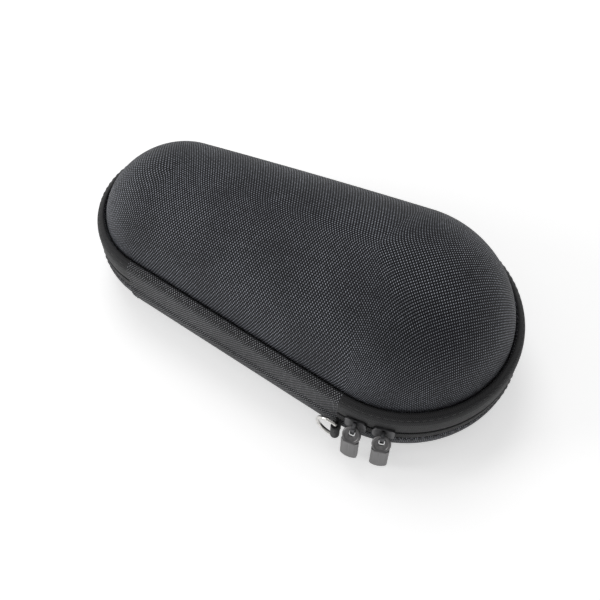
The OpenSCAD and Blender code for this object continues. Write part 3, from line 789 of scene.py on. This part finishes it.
def make_pull_web(name, angle, body):
    """Web across the eye of a pull, with a slot for the bridge."""
    ring_r, slot_half, slot_end, corner, chamfer, steps = 3.2, 1.35, 0.5, 0.8, 0.15, 40
    tilt = math.radians(EYE_TILT)
    centre = (EYE_HOLE + EYE_T) / 2
    open_at = math.pi - math.asin(slot_half / ring_r)
    run = ring_r * math.cos(open_at)
    half = slot_end - corner - run + math.pi / 2 * corner + slot_half - corner
    rows, faces = [], []
    face = WEB_T / 2
    for lift, grow in ((-face, chamfer), (chamfer - face, 0.0), (face - chamfer, 0.0), (face, chamfer)):
        for k in range(steps + 1):
            share = 2 * k / steps - 1
            sign = 1 if share > 0 else -1
            u, t = web_slot(half * (1 - abs(share)), run, slot_end, slot_half, corner)
            inner = (u + (grow if u > 0 else 0), t + grow)
            outer = (ring_r * math.cos(open_at * share), ring_r * abs(math.sin(open_at * share)))
            for du, dt in (inner, outer):
                out = PIVOT_OUT + (centre + du) * math.cos(tilt) + lift * math.sin(tilt)
                height = lift * math.cos(tilt) - (centre + du) * math.sin(tilt)
                rows.append(on_head(angle, out, sign * dt, height))
    m = 2 * (steps + 1)
    for k in range(steps):
        a = 2 * k
        faces.append((a, a + 1, a + 3, a + 2))
        faces.append((3 * m + a, 3 * m + a + 2, 3 * m + a + 3, 3 * m + a + 1))
        for level in range(3):
            b = level * m + a
            faces.append((b, b + 2, b + m + 2, b + m))
            faces.append((b + 1, b + m + 1, b + m + 3, b + 3))
    for level in range(3):
        for b in (level * m, level * m + m - 2):
            faces.append((b, b + 1, b + m + 1, b + m))
    piece = make_piece(name, rows, faces, PULL, sharp=40.0)
    turn_faces_out(piece)
    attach(piece, body)


make_pull_web("end_pull_web", END_SLIDER_AT, "end_pull")
make_pull_web("lead_pull_web", LEAD_SLIDER_AT, "lead_pull")


# Webbing loop that holds the ring
WEBBING_ROWS, FOLD_STEPS, FOLD_TURN, RIB_DEPTH = 24, 12, 300.0, 0.07


def make_ring_loop():
    """Webbing folded round the bar of the ring, both ends sewn flat to the cover."""
    mid_r = RING_WIRE / 2 + WEBBING_GAP + WEBBING_T / 2
    half = WEBBING_T / 2
    line = [(-0.05, -half), (0.8, -half), (1.5, -half - 0.05)]
    for k in range(FOLD_STEPS + 1):
        a = math.radians(FOLD_TURN * (k / FOLD_STEPS - 0.5))
        line.append((RING_STANDOFF + mid_r * math.cos(a), mid_r * math.sin(a)))
    line += [(1.5, half + 0.05), (0.8, half), (-0.05, half)]
    rows, uvs, faces = [], [], []
    levels = [-RING_DROP - WEBBING_H / 2 + WEBBING_H * k / WEBBING_ROWS for k in range(WEBBING_ROWS + 1)]
    run = 0.0
    m = len(levels)
    for side in (1, -1):
        for i, p in enumerate(line):
            a, b = line[max(i - 1, 0)], line[min(i + 1, len(line) - 1)]
            length = math.dist(a, b)
            normal = ((b[1] - a[1]) / length, (a[0] - b[0]) / length)
            run = run + math.dist(a, p) if i else 0.0
            for k, level in enumerate(levels):
                edge = min(k, m - 1 - k)
                t = (half - 0.03) * (0.55 if edge == 0 else 0.9 if edge == 1 else 1.0)
                t -= RIB_DEPTH if k % 2 and edge > 1 else 0.0
                out, along = (p[c] + side * normal[c] * t for c in (0, 1))
                rows.append(on_head(RING_ANGLE, out, along, level))
                uvs.append((run, level + 40))
    n = len(line)
    for side in (0, 1):
        base = side * n * m
        for i in range(n - 1):
            for k in range(m - 1):
                a = base + i * m + k
                faces.append((a, a + 1, a + m + 1, a + m))
    for i in range(n - 1):
        for k in (0, m - 1):
            a, b = i * m + k, n * m + i * m + k
            faces.append((a, a + m, b + m, b))
    for k in range(m - 1):
        for i in (0, n - 1):
            a, b = i * m + k, n * m + i * m + k
            faces.append((a, a + 1, b + 1, b))
    piece = make_piece("webbing_loop", rows, faces, WEBBING, uvs, sharp=70.0)
    turn_faces_out(piece)
    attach(piece, "base")
    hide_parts("ring_loop")


make_ring_loop()


# Pocket in the lid
NET_ROWS, NET_COLS = range(-30, 31), range(-40, 12)
BINDING_STEPS, GATHER, GATHER_TURN = 60, 0.06, 2.4


def inside_plan(x, y, inset):
    """True if a place lies in the case's plan, a given inset inside the zip line."""
    if math.hypot(x - HEAD_X, y) < HEAD_R - inset or math.hypot(x - TAIL_X, y) < TAIL_R - inset:
        return True
    across = (x - HEAD_X) * math.cos(math.pi / 2 + TAPER) + abs(y) * math.sin(math.pi / 2 + TAPER)
    along = (HEAD_X - x) * math.cos(TAPER) - abs(y) * math.sin(TAPER)
    return across < HEAD_R - inset and 0 < along < SIDE_LEN


def make_net():
    """Knitted net of six-sided holes, and the flat area that it covers in square metres."""
    rise = NET_PITCH * math.sqrt(3) / 2
    points, faces, known = [], [], {}

    def vertex(x, y):
        key = (round(x * 50), round(y * 50))
        if key not in known:
            known[key] = len(points)
            points.append((x, y, MESH_Z + MESH_T / 2))
        return known[key]

    r = NET_PITCH / math.sqrt(3)
    turns = [math.radians(60 * k + 30) for k in range(6)]
    for row in NET_ROWS:
        for col in NET_COLS:
            x, y = col * NET_PITCH + (NET_PITCH / 2 if row % 2 else 0), row * rise
            corners = [(x + r * math.cos(a), y + r * math.sin(a)) for a in turns]
            if max(c[0] for c in corners) > POCKET_MOUTH_X - 2:
                continue
            if all(inside_plan(*c, MESH_IN + 0.3) for c in corners):
                faces.append([vertex(*c) for c in corners])
    piece = make_piece("pocket_net", points, faces, NET)
    wire = piece.modifiers.new("threads", "WIREFRAME")
    wire.thickness, wire.use_boundary, wire.use_even_offset = MESH_T * MM, True, False
    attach(piece, "lid")
    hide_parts("pocket_mesh")
    return piece, len(faces) * NET_PITCH * rise * MM ** 2


def make_binding():
    """Elastic folded over the open edge of the pocket."""
    low, high = POCKET_MOUTH_X - BINDING_W / 2, POCKET_MOUTH_X + BINDING_W / 2
    z = MESH_Z + MESH_T / 2
    half_t = BINDING_T / 2
    section = rounded([(low, -half_t), (high, -half_t), (high, half_t), (low, half_t)], 0.7, 4)
    rows, uvs, faces = [], [], []
    m = len(section)
    for k in range(BINDING_STEPS + 1):
        share = 2 * k / BINDING_STEPS - 1
        for i, (x, dz) in enumerate(section):
            reach = ((HEAD_R - MESH_IN - 0.1) - (HEAD_X - x) * math.sin(TAPER)) / math.cos(TAPER)
            y = share * reach
            gather = GATHER * math.sin(k * GATHER_TURN) * (1 if dz > 0 else -1)
            rows.append((x, y, z + dz * 0.9 + gather))
            uvs.append((y, x + dz))
    for k in range(BINDING_STEPS):
        for i in range(m):
            a, b = k * m + i, k * m + (i + 1) % m
            faces.append((a, b, b + m, a + m))
    faces.append(tuple(reversed(range(m))))
    faces.append(tuple(BINDING_STEPS * m + i for i in range(m)))
    piece = make_piece("pocket_edge", rows, faces, ELASTIC, uvs)
    turn_faces_out(piece)
    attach(piece, "lid")
    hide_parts("pocket_binding")
    return piece


net, net_area = make_net()
binding = make_binding()

# Solids that stay and take a material
for node, material in (("d_ring", STEEL), ("zip_stops", SLIDER)):
    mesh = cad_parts[node].data
    mesh.materials.clear()
    mesh.materials.append(material)


# Floor and light
FLOOR_HALF, WORLD_LEVEL, AIM_HEIGHT = 4.0, 0.4, 0.04
# How much whiter the floor is seen than it is lit, near the object and far from it, and where that turns over
FLOOR_LIFT, FLOOR_LIFT_FAR, LIFT_FROM, LIFT_TO = 0.46, 0.8, 350.0, 1400.0


def make_floor():
    """Pale floor that is lit plainly, seen white and keeps the shadow."""
    grid = bmesh.new()
    bmesh.ops.create_grid(grid, x_segments=8, y_segments=8, size=FLOOR_HALF)
    mesh = bpy.data.meshes.new("floor")
    grid.to_mesh(mesh)
    grid.free()
    s = Shader("floor", Roughness=0.9, Specular_IOR_Level=0.1)
    s.colour(s.mix(s.noise(s.place(), 0.002, 2.0), (0.93, 0.93, 0.93), (0.95, 0.95, 0.95)))
    seen = s.node("ShaderNodeLightPath")
    rays = s.math("MAXIMUM", seen.outputs["Is Camera Ray"],
                  s.math("MAXIMUM", seen.outputs["Is Glossy Ray"], seen.outputs["Is Transmission Ray"]))
    far = s.node("ShaderNodeVectorMath", operation="LENGTH")
    s.put(far.inputs[0], s.place())
    lift = s.span(far.outputs["Value"], LIFT_FROM, LIFT_TO, FLOOR_LIFT, FLOOR_LIFT_FAR)
    s.put(s.bsdf.inputs["Emission Strength"], s.math("MULTIPLY", rays, lift))
    s.bsdf.inputs["Emission Color"].default_value = (1, 1, 1, 1)
    mesh.materials.append(s.material)
    floor = bpy.data.objects.new("floor", mesh)
    bpy.context.scene.collection.objects.link(floor)


def make_world():
    """Even light from all round, seen white."""
    world = bpy.data.worlds.new("studio")
    bpy.context.scene.world = world
    world.use_nodes = True
    tree = world.node_tree
    background = next(n for n in tree.nodes if n.type == "BACKGROUND")
    rays = tree.nodes.new("ShaderNodeLightPath")
    seen = tree.nodes.new("ShaderNodeMath")
    seen.operation = "MAXIMUM"
    tree.links.new(rays.outputs["Is Camera Ray"], seen.inputs[0])
    tree.links.new(rays.outputs["Is Transmission Ray"], seen.inputs[1])
    strength = tree.nodes.new("ShaderNodeMapRange")
    strength.inputs["To Min"].default_value = WORLD_LEVEL
    strength.inputs["To Max"].default_value = 1.0
    tree.links.new(seen.outputs[0], strength.inputs["Value"])
    tree.links.new(strength.outputs[0], background.inputs["Strength"])
    background.inputs["Color"].default_value = (1, 1, 1, 1)


def make_light(name, place, size, power):
    """A round soft lamp that looks at the object."""
    data = bpy.data.lights.new(name, "AREA")
    data.shape, data.size, data.energy = "DISK", size, power
    light = bpy.data.objects.new(name, data)
    light.location = place
    aim = Vector((0, 0, AIM_HEIGHT)) - Vector(place)
    light.rotation_euler = aim.to_track_quat("-Z", "Y").to_euler()
    bpy.context.scene.collection.objects.link(light)


make_floor()
make_world()
make_light("key", (-0.7, 0.7, 1.5), 1.0, 7.0)
make_light("fill", (-1.6, -1.0, 0.6), 0.8, 13.0)

scene = bpy.context.scene
scene.view_settings.view_transform = "Standard"
